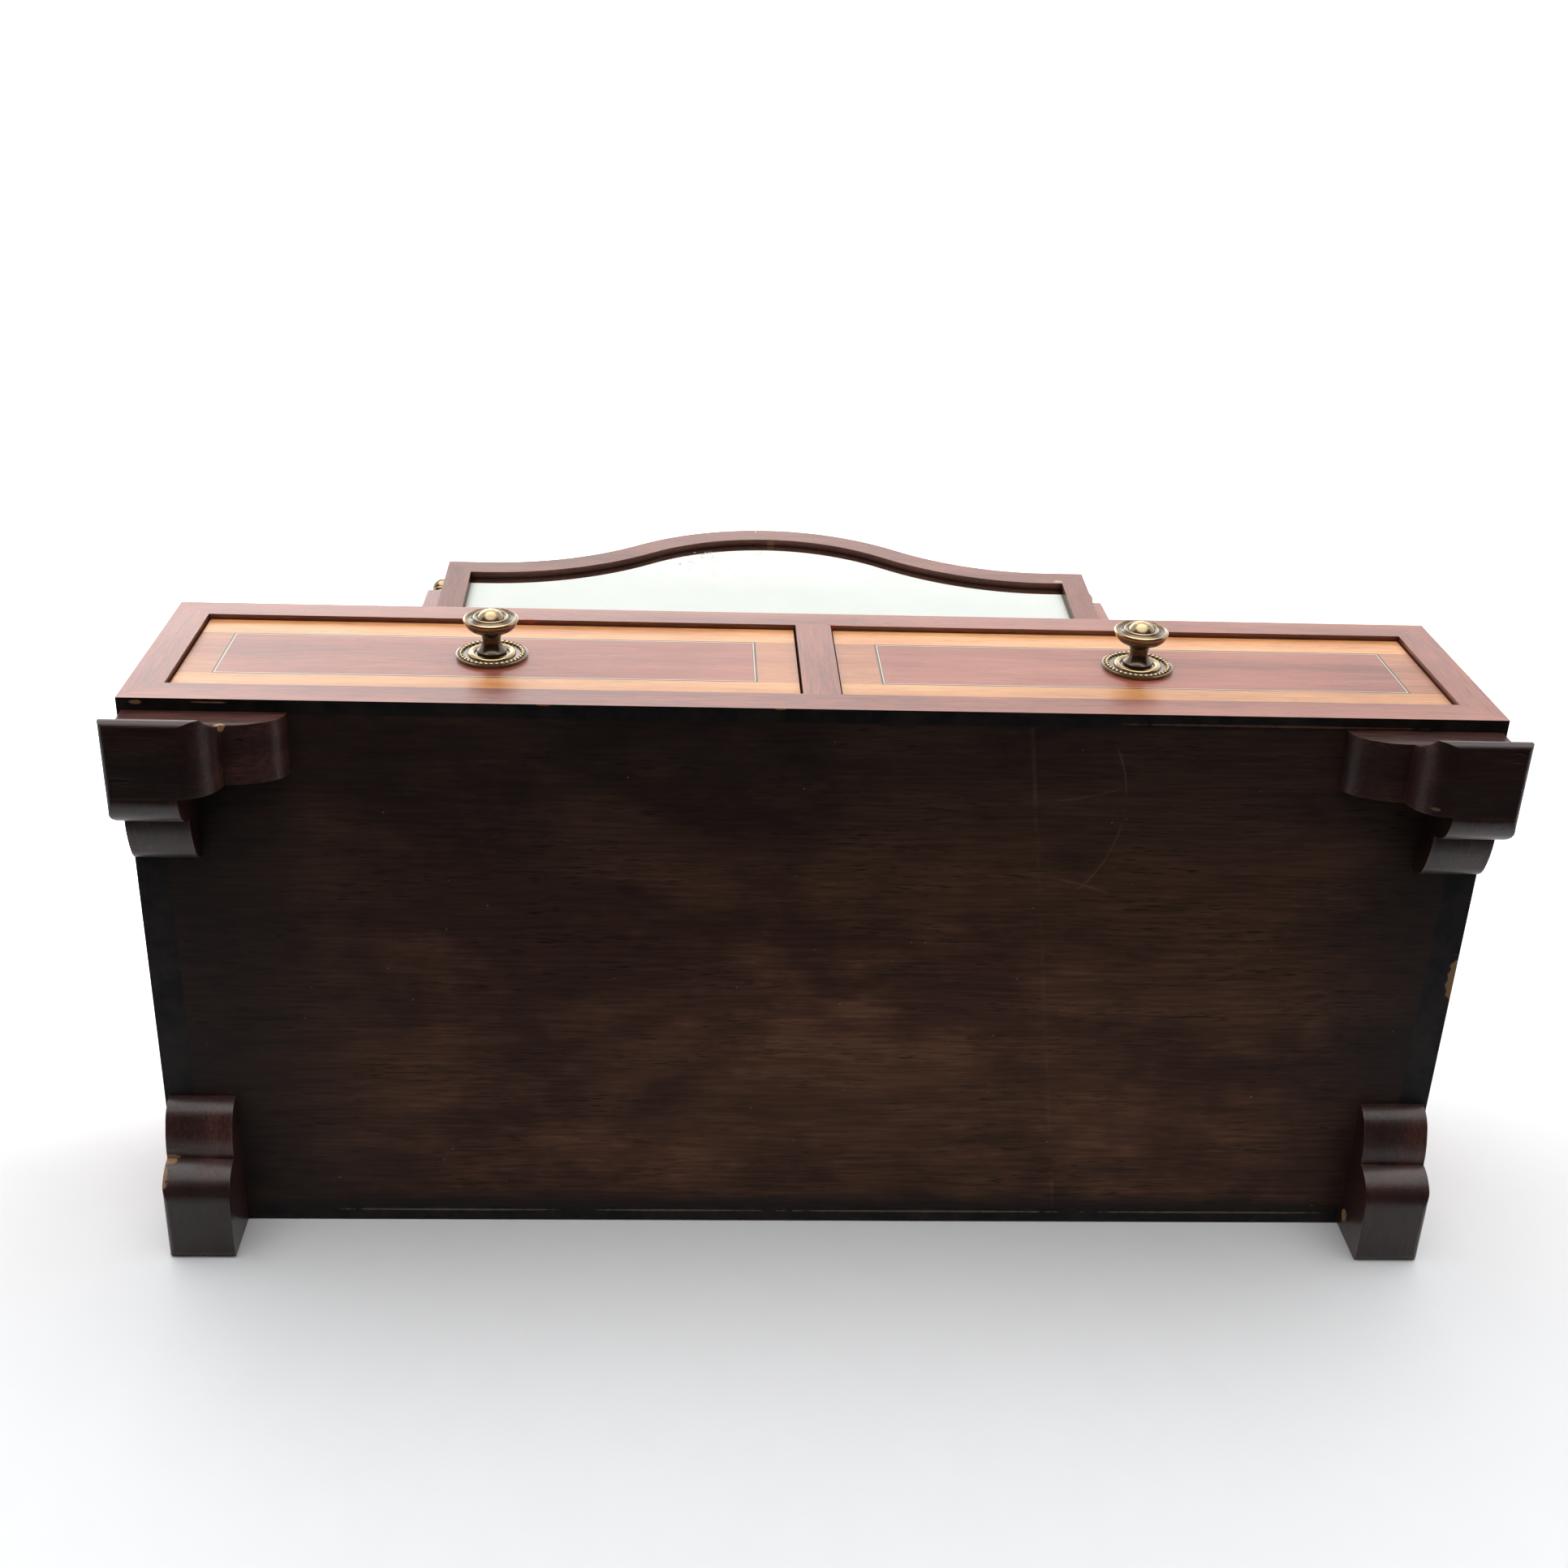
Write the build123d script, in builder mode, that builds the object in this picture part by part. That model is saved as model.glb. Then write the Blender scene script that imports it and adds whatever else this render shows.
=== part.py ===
"""Swing toilet mirror on a low box with two drawers.

Frame: +Z up, the front faces -Y, millimetres. The origin is on the floor, centred under the
whole object (drawer knobs included), so the feet stand on Z = 0.
"""
from build123d import *
from math import acos, cos, pi, radians, sin
import os

os.makedirs("parts", exist_ok=True)

# ---------------------------------------------------------------- driving dimensions
case_width = 450.0
case_depth = 205.0
case_height = 86.5
knob_reach = 15.0           # how far a knob stands out from the front of the case

foot_height = 22.0
foot_length = 52.0
foot_inset = 1.5            # outer faces of the feet, in from the sides of the case
foot_setback = 4.3          # faces of the front feet, back from the front of the case
pad_length = 22.0           # flat part of a foot that touches the table
crease_at = 33.0            # where the bulge meets the tail, from the outer end
crease_height = 10.8
toe_round = 2.2
front_toe = 5.2             # how far the front toe swells beyond the face of the bracket
side_toe = 1.5
rear_heel = 1.5             # rear feet run this much longer, out to the back of the case
front_arm_width = 20.7
rear_arm_width = 23.0

side_thickness = 10.5
bottom_thickness = 9.0
top_thickness = 8.0
back_thickness = 6.0
facing_thickness = 5.0
stile_width = 12.25
rail_top_height = 11.5
rail_bottom_height = 12.5
divider_width = 12.5

drawer_gap = 0.75           # round the drawer fronts
running_gap = 0.25          # under the drawer sides
drawer_recess = 1.75        # drawer faces stand back from the case front
front_core = 14.2
veneer = 0.8
banding_width = 12.4
stringing_width = 1.2
box_wall = 7.0              # drawer sides and back
panel_thickness = 4.0       # drawer bottoms
groove_depth = 3.0
groove_height = 3.0
lap = 3.8                   # wood left in front of the dovetails
stop_thickness = 4.0

inlay_shift = 1.4           # stringing, panel and knob sit this much towards the sides
knob_rise = 1.2             # knobs stand above the middle of the drawer fronts
plate_diameter = 24.4
head_diameter = 18.0
shank_diameter = 4.0
shank_hole = 4.2
bead_count = 38

upright_thickness = 12.0
upright_depth = 14.0
upright_foot_depth = 40.0
upright_sweep = 44.0
upright_height = 396.5      # above the top of the case
finial_height = 27.0
tenon_width = 7.0
tenon_depth = 24.0

mirror_tilt = 5.0           # top of the mirror leans forward by this much
mirror_half_width = 181.75
mirror_half_height = 192.0  # pivots to the shoulders, and pivots to the bottom edge
crest_rise = 53.5
crest_radius = 125.0
shoulder_radius = 141.0
frame_width = 13.5
frame_thickness = 16.0
lip_thickness = 3.5
rebate_inset = 7.0
glass_thickness = 3.0
backing_thickness = 6.0
pane_play = 0.3
pivot_height = 204.5        # above the top of the case
pivot_setback = 146.0       # behind the front of the case
pin_diameter = 5.0
pin_bore = 5.1

# ---------------------------------------------------------------- worked out from them
case_front = -(case_depth + knob_reach) / 2 + knob_reach
case_back = case_front + case_depth
case_bottom = foot_height
case_top = foot_height + case_height
half_width = case_width / 2
front_back = case_front + facing_thickness
back_front = case_back - back_thickness
under_top = case_top - top_thickness
floor_top = case_bottom + bottom_thickness

opening_bottom = case_bottom + rail_bottom_height
opening_top = case_top - rail_top_height
opening_inner = divider_width / 2
opening_outer = half_width - stile_width
opening_width = opening_outer - opening_inner
drawer_middle = (opening_inner + opening_outer) / 2
drawer_width = opening_width - 2 * drawer_gap
drawer_half = drawer_width / 2

face_y = case_front + drawer_recess
core_y = face_y + veneer
core_back = core_y + front_core
drawer_back = back_front - stop_thickness - 0.3
box_bottom = opening_bottom + running_gap
front_bottom = opening_bottom + drawer_gap
front_top = opening_top - drawer_gap
box_top = front_top - 1.0
face_middle = (front_bottom + front_top) / 2
panel_bottom = box_bottom + groove_height
panel_top = panel_bottom + panel_thickness
tail_centres = (box_bottom + 20.5, box_bottom + 42.5)

pivot_y = case_front + pivot_setback
pivot_z = case_top + pivot_height
upright_inner = mirror_half_width + 1.75
upright_middle = upright_inner + upright_thickness / 2
upright_outer = upright_inner + upright_thickness
upright_top = case_top + upright_height

FRONT = Plane(origin=(0, case_front, 0), x_dir=(1, 0, 0), z_dir=(0, -1, 0))
tilt = radians(mirror_tilt)
MIRROR = Plane(
    origin=(0, pivot_y, pivot_z), x_dir=(1, 0, 0), z_dir=(0, -cos(tilt), -sin(tilt))
)
MIRROR_BACK = MIRROR.offset(-frame_thickness / 2)
SIDES = {"left": -1, "right": 1}


# ---------------------------------------------------------------- helpers
def save_piece(piece, name):
    """Label a finished piece and write it out."""
    piece.part.label = name
    export_step(piece.part, f"parts/{name}.step")


def board(name, x_range, y_range, z_range):
    """A plain rectangular board between two corners, saved under its name."""
    middle = ((x_range[0] + x_range[1]) / 2, (y_range[0] + y_range[1]) / 2)
    with BuildPart() as plank:
        with BuildSketch(Plane.XY.offset(z_range[0])):
            with Locations(middle):
                Rectangle(x_range[1] - x_range[0], y_range[1] - y_range[0])
        extrude(amount=z_range[1] - z_range[0])
    save_piece(plank, name)


def strips(name, x_ranges, y_range, z_range):
    """Several straight strips of the same section, saved as one group."""
    with BuildPart() as group:
        with BuildSketch(Plane.XY.offset(z_range[0])):
            for near, far in x_ranges:
                with Locations(((near + far) / 2, (y_range[0] + y_range[1]) / 2)):
                    Rectangle(abs(far - near), y_range[1] - y_range[0])
        extrude(amount=z_range[1] - z_range[0])
    save_piece(group, name)


def facing(name, corners):
    """A flat member of the front frame, drawn on the front of the case."""
    with BuildPart() as member:
        with BuildSketch(FRONT):
            with BuildLine():
                Polyline(*corners, close=True)
            make_face()
        extrude(amount=-facing_thickness)
    save_piece(member, name)


# ---------------------------------------------------------------- case
board(
    "bottom_board",
    (-half_width + side_thickness, half_width - side_thickness),
    (front_back, back_front),
    (case_bottom, floor_top),
)
for side, sign in SIDES.items():
    edges = sorted((sign * half_width, sign * (half_width - side_thickness)))
    board(f"side_{side}", edges, (front_back, back_front), (case_bottom, under_top))
board("back_board", (-half_width, half_width), (back_front, case_back), (case_bottom, under_top))
board(
    "centre_partition",
    (-opening_inner, opening_inner),
    (front_back, back_front),
    (floor_top, under_top),
)

# top board, with a mortise for the tenon of each upright
with BuildPart() as top_board:
    with BuildSketch(Plane.XY.offset(under_top)):
        with Locations((0, (front_back + case_back) / 2)):
            Rectangle(case_width, case_back - front_back)
    extrude(amount=top_thickness)
    with BuildSketch(Plane.XY.offset(under_top)):
        with Locations((-upright_middle, pivot_y), (upright_middle, pivot_y)):
            Rectangle(tenon_width, tenon_depth)
    extrude(amount=top_thickness, mode=Mode.SUBTRACT)
save_piece(top_board, "top_board")

# mitred frame round the front, with the divider standing between its rails
facing(
    "front_rail_top",
    (
        (-half_width, case_top),
        (half_width, case_top),
        (opening_outer, opening_top),
        (-opening_outer, opening_top),
    ),
)
facing(
    "front_rail_bottom",
    (
        (-half_width, case_bottom),
        (half_width, case_bottom),
        (opening_outer, opening_bottom),
        (-opening_outer, opening_bottom),
    ),
)
for side, sign in SIDES.items():
    facing(
        f"front_stile_{side}",
        (
            (sign * half_width, case_bottom),
            (sign * half_width, case_top),
            (sign * opening_outer, opening_top),
            (sign * opening_outer, opening_bottom),
        ),
    )
facing(
    "front_divider",
    (
        (-opening_inner, opening_bottom),
        (opening_inner, opening_bottom),
        (opening_inner, opening_top),
        (-opening_inner, opening_top),
    ),
)

# strips the drawers slide on, between and under
runner_width = 11.0
runner_inner = opening_inner
runner_outer = half_width - side_thickness
runner_spans = []
for sign in SIDES.values():
    runner_spans.append((sign * runner_inner, sign * (runner_inner + runner_width)))
    runner_spans.append((sign * (runner_outer - runner_width), sign * runner_outer))
strips("drawer_runners", runner_spans, (front_back, back_front), (floor_top, opening_bottom))
strips("drawer_kickers", runner_spans, (front_back, back_front), (opening_top, under_top))
guide_spans = [(sign * opening_outer, sign * runner_outer) for sign in SIDES.values()]
strips("drawer_guides", guide_spans, (front_back, back_front), (opening_bottom, opening_top))
stop_spans = []
for sign in SIDES.values():
    for distance in (drawer_middle - 60, drawer_middle + 60):
        stop_spans.append((sign * (distance - 10), sign * (distance + 10)))
strips(
    "drawer_stops",
    stop_spans,
    (back_front - stop_thickness, back_front),
    (floor_top, opening_bottom + 14),
)

# ---------------------------------------------------------------- bracket feet
cove_top = -9.0
cove_bottom = -18.8


def outer_edge(toe):
    """Draw the outer edge of a foot: down its face, out through a cove, round under the toe."""
    if toe > 0:
        Line((0, 0), (0, cove_top))
        ThreePointArc((0, cove_top), (-0.3 * toe, -15.3), (-toe, cove_bottom))
        Line((-toe, cove_bottom), (-toe, toe_round - foot_height))
    else:
        Line((0, 0), (0, toe_round - foot_height))
    RadiusArc((-toe, toe_round - foot_height), (toe_round - toe, -foot_height), -toe_round)


def arm_profile(toe, heel):
    """Side view of an arm: x runs inwards from its outer end, y is height over the case bottom."""
    with BuildSketch() as profile:
        with BuildLine():
            if heel > 0:
                Polyline((0, 0), (-heel, 0), (-heel, toe_round - foot_height))
                RadiusArc(
                    (-heel, toe_round - foot_height), (toe_round - heel, -foot_height), -toe_round
                )
                Line((toe_round - heel, -foot_height), (pad_length, -foot_height))
            else:
                outer_edge(toe)
                Line((toe_round - toe, -foot_height), (pad_length, -foot_height))
            ThreePointArc((pad_length, -foot_height), (29.5, -18.4), (crease_at, -crease_height))
            ThreePointArc((crease_at, -crease_height), (39.5, -10.2), (45.5, -8.2))
            ThreePointArc((45.5, -8.2), (50, -5), (foot_length, 0))
            Line((foot_length, 0), (0, 0))
        make_face()
    return profile.sketch


def arm_section(width, toe):
    """Cross-section of an arm: x runs inwards from its face, y is height over the case bottom."""
    with BuildSketch() as section:
        with BuildLine():
            outer_edge(toe)
            Polyline((toe_round - toe, -foot_height), (width, -foot_height), (width, 0), (0, 0))
        make_face()
    return section.sketch


def upright_plane(corner, direction):
    """A vertical plane through a corner, its x axis along the given direction."""
    return Plane(
        origin=(*corner, case_bottom),
        x_dir=direction,
        z_dir=Vector(*direction).cross(Vector(0, 0, 1)),
    )


def foot_arm(name, corner, along, across, profile, section, cut_from=0.0):
    """One moulded arm of a foot, starting at the outer corner of its bracket.

    along: unit direction of the arm; across: unit direction of its thickness. Wood nearer
    the corner than cut_from belongs to the neighbouring arm and is left out.
    """
    with BuildPart() as arm:
        with BuildSketch(upright_plane(corner, along)):
            add(profile)
        extrude(amount=60, both=True)
        with BuildSketch(upright_plane(corner, across)):
            add(section)
        extrude(amount=60, both=True, mode=Mode.INTERSECT)
        if cut_from > 0:
            start = Vector(*corner, case_bottom) + Vector(*along) * cut_from
            with BuildSketch(Plane(origin=start, x_dir=across, z_dir=along)):
                Rectangle(120, 120)
            extrude(amount=60, mode=Mode.INTERSECT)
    save_piece(arm, name)


foot_outer = half_width - foot_inset
for side, sign in SIDES.items():
    front_corner = (sign * foot_outer, case_front + foot_setback)
    rear_corner = (sign * foot_outer, case_back - rear_heel)
    inwards = (-sign, 0, 0)
    foot_arm(
        f"foot_front_{side}",
        front_corner,
        inwards,
        (0, 1, 0),
        arm_profile(side_toe, 0),
        arm_section(front_arm_width, front_toe),
    )
    foot_arm(
        f"foot_front_{side}_wing",
        front_corner,
        (0, 1, 0),
        inwards,
        arm_profile(front_toe, 0),
        arm_section(front_arm_width, side_toe),
        cut_from=front_arm_width,
    )
    foot_arm(
        f"foot_rear_{side}",
        rear_corner,
        (0, -1, 0),
        inwards,
        arm_profile(0, rear_heel),
        arm_section(rear_arm_width, 0),
    )


# ---------------------------------------------------------------- drawers
def tails(root, tip):
    """The dovetails of a drawer side, in side view, from their root to their tip."""
    flare = 2.5 if tip > root else -2.5
    with BuildSketch() as outline:
        for centre in tail_centres:
            with BuildLine():
                Polyline(
                    (root, centre - 5.5),
                    (tip, centre - 8),
                    (tip, centre + 8),
                    (root, centre + 5.5),
                    close=True,
                )
            make_face()
    return outline.sketch


front_tails = tails(core_back, core_y + lap)
back_tails = tails(drawer_back - box_wall, drawer_back)


def make_drawer(side, sign):
    """One dovetailed drawer with its veneered and banded front and its brass knob."""
    middle = sign * drawer_middle
    left = middle - drawer_half
    right = middle + drawer_half
    prefix = f"drawer_{side}"
    inlay_middle = middle + sign * inlay_shift
    face = Plane(origin=(middle, face_y, face_middle), x_dir=(1, 0, 0), z_dir=(0, -1, 0))
    inlay_face = Plane(
        origin=(inlay_middle, face_y, face_middle), x_dir=(1, 0, 0), z_dir=(0, -1, 0)
    )
    knob_axis = Plane(
        origin=(inlay_middle, face_y, face_middle + knob_rise), x_dir=(1, 0, 0), z_dir=(0, -1, 0)
    )

    with BuildPart() as front:
        with BuildSketch(Plane.XY.offset(front_bottom)):
            with Locations((middle, (core_y + core_back) / 2)):
                Rectangle(drawer_width, front_core)
        extrude(amount=front_top - front_bottom)
        for edge in (left, right - box_wall):
            with BuildSketch(Plane.YZ.offset(edge)):
                add(front_tails)
            extrude(amount=box_wall, mode=Mode.SUBTRACT)
        with BuildSketch(Plane.XY.offset(panel_bottom)):
            with Locations((middle, core_back - groove_depth / 2)):
                Rectangle(drawer_width - 2 * (box_wall - groove_depth), groove_depth)
        extrude(amount=panel_thickness, mode=Mode.SUBTRACT)
        with BuildSketch(knob_axis):
            Circle(shank_hole / 2)
        extrude(amount=-40, mode=Mode.SUBTRACT)
    save_piece(front, f"{prefix}_front")

    for hand, edge, groove_start in (
        ("l", left, left + box_wall - groove_depth),
        ("r", right - box_wall, right - box_wall),
    ):
        with BuildPart() as wall:
            with BuildSketch(Plane.YZ.offset(edge)):
                with Locations(
                    ((core_back + drawer_back - box_wall) / 2, (box_bottom + box_top) / 2)
                ):
                    Rectangle(drawer_back - box_wall - core_back, box_top - box_bottom)
                add(front_tails)
                add(back_tails)
            extrude(amount=box_wall)
            with BuildSketch(Plane.XY.offset(panel_bottom)):
                with Locations((groove_start + groove_depth / 2, 0)):
                    Rectangle(groove_depth, 2 * case_depth)
            extrude(amount=panel_thickness, mode=Mode.SUBTRACT)
        save_piece(wall, f"{prefix}_side_{hand}")

    with BuildPart() as back:
        with BuildSketch(Plane.XY.offset(panel_top)):
            with Locations((middle, drawer_back - box_wall / 2)):
                Rectangle(drawer_width, box_wall)
        extrude(amount=box_top - 3 - panel_top)
        for edge in (left, right - box_wall):
            with BuildSketch(Plane.YZ.offset(edge)):
                add(back_tails)
            extrude(amount=box_wall, mode=Mode.SUBTRACT)
    save_piece(back, f"{prefix}_back")

    panel_half = drawer_half - box_wall + groove_depth
    board(
        f"{prefix}_bottom",
        (middle - panel_half, middle + panel_half),
        (core_back - groove_depth, drawer_back - box_wall),
        (panel_bottom, panel_top),
    )

    # veneers laid on the face: bands round the edge, a line of stringing, a centre panel
    face_height = front_top - front_bottom
    inner_width = drawer_width - 2 * banding_width
    inner_height = face_height - 2 * banding_width
    band_shift = (face_height - banding_width) / 2
    with BuildPart() as long_bands:
        with BuildSketch(face):
            with Locations((0, band_shift), (0, -band_shift)):
                Rectangle(drawer_width, banding_width)
        extrude(amount=-veneer)
    save_piece(long_bands, f"{prefix}_bands_long")
    with BuildPart() as end_bands:
        with BuildSketch(face):
            Rectangle(drawer_width, inner_height)
            with Locations((sign * inlay_shift, 0)):
                Rectangle(inner_width, inner_height, mode=Mode.SUBTRACT)
        extrude(amount=-veneer)
    save_piece(end_bands, f"{prefix}_bands_end")
    with BuildPart() as stringing:
        with BuildSketch(inlay_face):
            Rectangle(inner_width, inner_height)
            Rectangle(
                inner_width - 2 * stringing_width,
                inner_height - 2 * stringing_width,
                mode=Mode.SUBTRACT,
            )
        extrude(amount=-veneer)
    save_piece(stringing, f"{prefix}_stringing")
    with BuildPart() as panel:
        with BuildSketch(inlay_face):
            Rectangle(
                inner_width - 2 * stringing_width, inner_height - 2 * stringing_width
            )
            with Locations((0, knob_rise)):
                Circle(shank_hole / 2, mode=Mode.SUBTRACT)
        extrude(amount=-veneer)
    save_piece(panel, f"{prefix}_panel")

    # brass backplate: raised ring, channel, beads and thin lip, round the knob shank
    knob_section = Plane(origin=knob_axis.origin, x_dir=(1, 0, 0), z_dir=(0, 0, 1))
    rim = plate_diameter / 2
    ring_outer = rim - 4.0
    ring_inner = rim - 6.4
    ring_crest = (ring_outer + ring_inner) / 2
    with BuildPart() as backplate:
        with BuildSketch(knob_section):
            with BuildLine():
                Polyline((shank_hole / 2, 0), (rim, 0), (rim, -1.1), (rim - 0.6, -1.3))
                Polyline((rim - 0.6, -1.3), (rim - 0.9, -1.0), (ring_outer, -0.9))
                ThreePointArc((ring_outer, -0.9), (ring_crest, -1.9), (ring_inner, -0.9))
                Polyline((ring_inner, -0.9), (shank_hole / 2, -0.9), (shank_hole / 2, 0))
            make_face()
        revolve(axis=Axis(knob_axis.origin, (0, -1, 0)))
        with Locations(knob_axis.offset(1.0)):
            with PolarLocations(rim - 1.75, bead_count):
                Sphere(0.75)
    save_piece(backplate, f"{prefix}_backplate")

    # turned knob: flared foot, waisted neck, funnel head with a lip, a ring and a dome
    head = head_diameter / 2
    reach = knob_reach + drawer_recess
    dome_edge = head - 4.4
    dome_rise = reach - 13.9
    dome_radius = (dome_edge**2 + dome_rise**2) / (2 * dome_rise)
    with BuildPart() as knob:
        with BuildSketch(knob_section):
            with BuildLine():
                Polyline(
                    (0, front_core + veneer + 5),
                    (shank_diameter / 2, front_core + veneer + 5),
                    (shank_diameter / 2, -1.0),
                    (5.0, -1.0),
                    (5.0, -2.2),
                )
                ThreePointArc((5.0, -2.2), (3.7, -3.8), (3.1, -6.2))
                ThreePointArc((3.1, -6.2), (3.7, -8.1), (5.2, -9.3))
                ThreePointArc((5.2, -9.3), (7.9, -10.6), (head, -12.6))
                ThreePointArc((head, -12.6), (head + 0.3, -13.3), (head - 0.3, -14.0))
                ThreePointArc((head - 0.3, -14.0), (head - 1.7, -13.2), (head - 2.9, -13.8))
                ThreePointArc((head - 2.9, -13.8), (head - 3.4, -14.4), (head - 3.9, -14.0))
                Line((head - 3.9, -14.0), (dome_edge, -13.9))
                RadiusArc((dome_edge, -13.9), (0, -reach), dome_radius)
                Line((0, -reach), (0, front_core + veneer + 5))
            make_face()
        revolve(axis=Axis(knob_axis.origin, (0, -1, 0)))
    save_piece(knob, f"{prefix}_knob")

    with BuildPart() as nut:
        with BuildSketch(knob_axis.offset(-(front_core + veneer))):
            Rectangle(8, 8)
            Circle(shank_diameter / 2, mode=Mode.SUBTRACT)
        extrude(amount=-3)
    save_piece(nut, f"{prefix}_nut")


for side, sign in SIDES.items():
    make_drawer(side, sign)

# ---------------------------------------------------------------- uprights
upright_front = pivot_y - upright_depth / 2
upright_rear = pivot_y + upright_depth / 2
sweep_out = (upright_foot_depth - upright_depth) / 2
for side, sign in SIDES.items():
    inner_face = min(sign * upright_inner, sign * upright_outer)
    with BuildPart() as upright:
        with BuildSketch(Plane.YZ.offset(inner_face)):
            with BuildLine():
                Polyline(
                    (upright_front, case_top + upright_sweep),
                    (upright_front, upright_top),
                    (upright_rear, upright_top),
                    (upright_rear, case_top + upright_sweep),
                )
                for edge, outwards in ((upright_front, -1), (upright_rear, 1)):
                    toe = edge + outwards * sweep_out
                    ThreePointArc(
                        (edge, case_top + upright_sweep),
                        (edge + outwards * sweep_out * 0.24, case_top + upright_sweep * 0.4),
                        (toe, case_top + 8),
                    )
                    Line((toe, case_top + 8), (toe, case_top))
                Line((upright_front - sweep_out, case_top), (upright_rear + sweep_out, case_top))
            make_face()
        extrude(amount=upright_thickness)
        fillet(upright.edges().filter_by(Axis.Z), radius=1.5)
        fillet(upright.faces().sort_by(Axis.Z)[-1].edges(), radius=1.0)
        with BuildSketch(Plane.XY.offset(under_top)):
            with Locations((sign * upright_middle, pivot_y)):
                Rectangle(tenon_width, tenon_depth)
        extrude(amount=top_thickness)
        with BuildSketch(Plane.YZ.offset(inner_face)):
            with Locations((pivot_y, pivot_z)):
                Circle(pin_bore / 2)
        extrude(amount=upright_thickness, mode=Mode.SUBTRACT)
    save_piece(upright, f"upright_{side}")

    # turned finial: collar, neck and ball
    ball = 5.6
    ball_centre = finial_height - ball
    with BuildPart() as finial:
        section_plane = Plane(
            origin=(sign * upright_middle, pivot_y, upright_top),
            x_dir=(1, 0, 0),
            z_dir=(0, -1, 0),
        )
        with BuildSketch(section_plane):
            with BuildLine():
                Polyline((0, finial_height), (0, 0), (5.2, 0), (5.2, 1.6), (3.9, 2.4))
                ThreePointArc((3.9, 2.4), (2.1, 7.0), (2.9, 12.4))
                ThreePointArc((2.9, 12.4), (4.1, 13.4), (3.0, 14.4))
                Line((3.0, 14.4), (2.2, ball_centre - (ball**2 - 2.2**2) ** 0.5))
                ThreePointArc(
                    (2.2, ball_centre - (ball**2 - 2.2**2) ** 0.5),
                    (ball, ball_centre),
                    (0, finial_height),
                )
            make_face()
        revolve(axis=Axis((sign * upright_middle, pivot_y, 0), (0, 0, 1)))
    save_piece(finial, f"finial_{side}")

# ---------------------------------------------------------------- swinging mirror
# serpentine outline about the pivots: straight sides and bottom, ogee shoulders, round crest
ogee_turn = acos(1 - crest_rise / (crest_radius + shoulder_radius))
inflection = (
    crest_radius * sin(ogee_turn),
    mirror_half_height + crest_rise - crest_radius * (1 - cos(ogee_turn)),
)
ogee_start = (crest_radius + shoulder_radius) * sin(ogee_turn)
crest = (0, mirror_half_height + crest_rise)
with BuildSketch() as mirror_outline:
    with BuildLine():
        Polyline(
            (-ogee_start, mirror_half_height),
            (-mirror_half_width, mirror_half_height),
            (-mirror_half_width, -mirror_half_height),
            (mirror_half_width, -mirror_half_height),
            (mirror_half_width, mirror_half_height),
            (ogee_start, mirror_half_height),
        )
        RadiusArc((ogee_start, mirror_half_height), inflection, shoulder_radius)
        RadiusArc(inflection, crest, -crest_radius)
        RadiusArc(crest, (-inflection[0], inflection[1]), -crest_radius)
        RadiusArc(
            (-inflection[0], inflection[1]), (-ogee_start, mirror_half_height), shoulder_radius
        )
    make_face()


def inset_outline(distance):
    """The mirror outline drawn in from its edge, corners kept sharp."""
    with BuildSketch() as inner:
        offset(mirror_outline.sketch, amount=-distance, kind=Kind.INTERSECTION)
    return inner.sketch


opening = inset_outline(frame_width)
rebate = inset_outline(rebate_inset)
pane = inset_outline(rebate_inset + pane_play)
rebate_depth = frame_thickness - lip_thickness
plate_size = (32.0, 12.0, 1.2)
pin_depth = 6.5


def frame_member(name, corners, pivot_side=0):
    """One mitred member of the mirror frame, cut from the rebated ring."""
    with BuildPart() as member:
        with BuildSketch(MIRROR_BACK):
            add(mirror_outline.sketch)
            add(opening, mode=Mode.SUBTRACT)
        extrude(amount=frame_thickness)
        with BuildSketch(MIRROR_BACK):
            add(rebate)
        extrude(amount=rebate_depth, mode=Mode.SUBTRACT)
        with BuildSketch(MIRROR_BACK):
            with BuildLine():
                Polyline(*corners, close=True)
            make_face()
        extrude(amount=frame_thickness, mode=Mode.INTERSECT)
        if pivot_side:
            edge = Plane(
                origin=MIRROR.from_local_coords((pivot_side * mirror_half_width, 0, 0)),
                x_dir=MIRROR.y_dir,
                z_dir=(pivot_side, 0, 0),
            )
            with BuildSketch(edge):
                Rectangle(plate_size[0], plate_size[1])
            extrude(amount=-plate_size[2], mode=Mode.SUBTRACT)
            with BuildSketch(edge):
                Circle(pin_diameter / 2)
            extrude(amount=-pin_depth, mode=Mode.SUBTRACT)
    save_piece(member, name)


inner_x = mirror_half_width - frame_width
inner_y = mirror_half_height - frame_width
above = mirror_half_height + crest_rise + 5
frame_member(
    "mirror_rail_top",
    (
        (-mirror_half_width, above),
        (-mirror_half_width, mirror_half_height),
        (-inner_x, inner_y),
        (inner_x, inner_y),
        (mirror_half_width, mirror_half_height),
        (mirror_half_width, above),
    ),
)
frame_member(
    "mirror_rail_bottom",
    (
        (-mirror_half_width, -mirror_half_height),
        (-inner_x, -inner_y),
        (inner_x, -inner_y),
        (mirror_half_width, -mirror_half_height),
    ),
)
for side, sign in SIDES.items():
    frame_member(
        f"mirror_stile_{side}",
        (
            (sign * mirror_half_width, mirror_half_height),
            (sign * mirror_half_width, -mirror_half_height),
            (sign * inner_x, -inner_y),
            (sign * inner_x, inner_y),
        ),
        pivot_side=sign,
    )

with BuildPart() as mirror_glass:
    with BuildSketch(MIRROR_BACK.offset(rebate_depth)):
        add(pane)
    extrude(amount=-glass_thickness)
save_piece(mirror_glass, "mirror_glass")

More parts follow.
